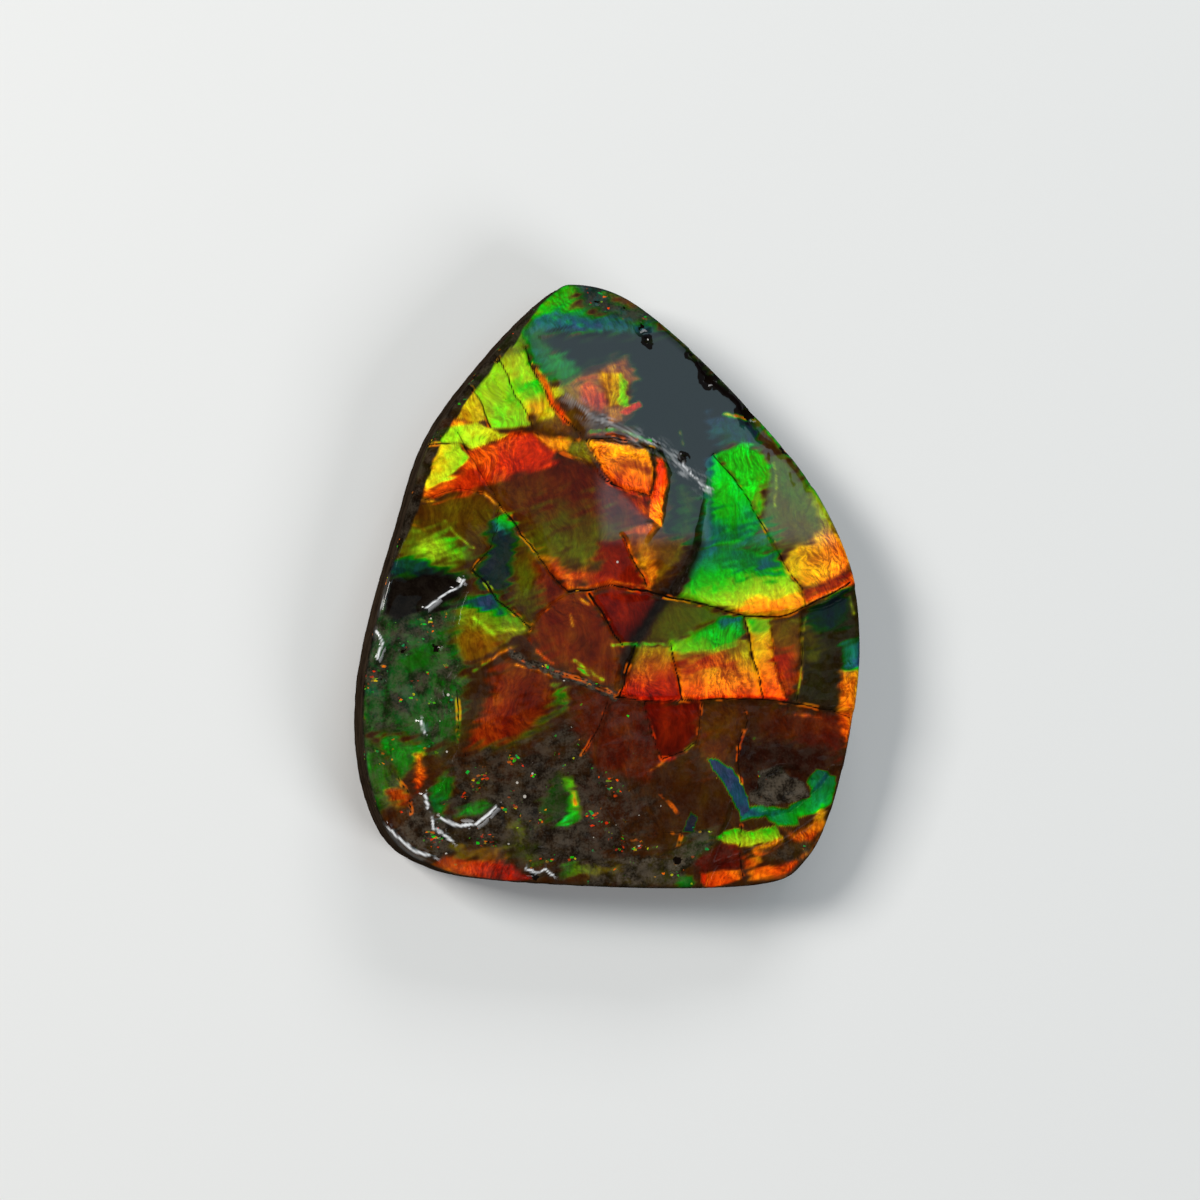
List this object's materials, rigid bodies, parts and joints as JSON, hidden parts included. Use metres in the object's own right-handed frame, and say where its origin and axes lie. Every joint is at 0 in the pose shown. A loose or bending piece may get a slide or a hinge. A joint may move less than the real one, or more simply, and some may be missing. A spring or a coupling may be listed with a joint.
{
  "type": "ammolite specimen",
  "caption": "Polished freeform hand piece of fossil ammonite shell: a crazed, ledged face with a rounded rim, bonded to a flat-backed slab of dark shale.",
  "frame": {"origin": "on the resting plane, under the middle of the piece", "axes": "+Z out of the polished face, +Y along the face towards its pointed end, +X to the right as the face is seen"},
  "size_m": [0.05, 0.0594, 0.0095],
  "materials": {
    "ammolite": "fossil nacre under a clear high polish, crazed, in bands of green, orange and red over dark brown",
    "shale": "dark brown shale, ground smooth on its wall and sawn flat with flaked edges on its back"
  },
  "bodies": {
    "root": {"ammolite_shell": "ammolite", "shale_matrix": "shale"}
  },
  "joints": []
}
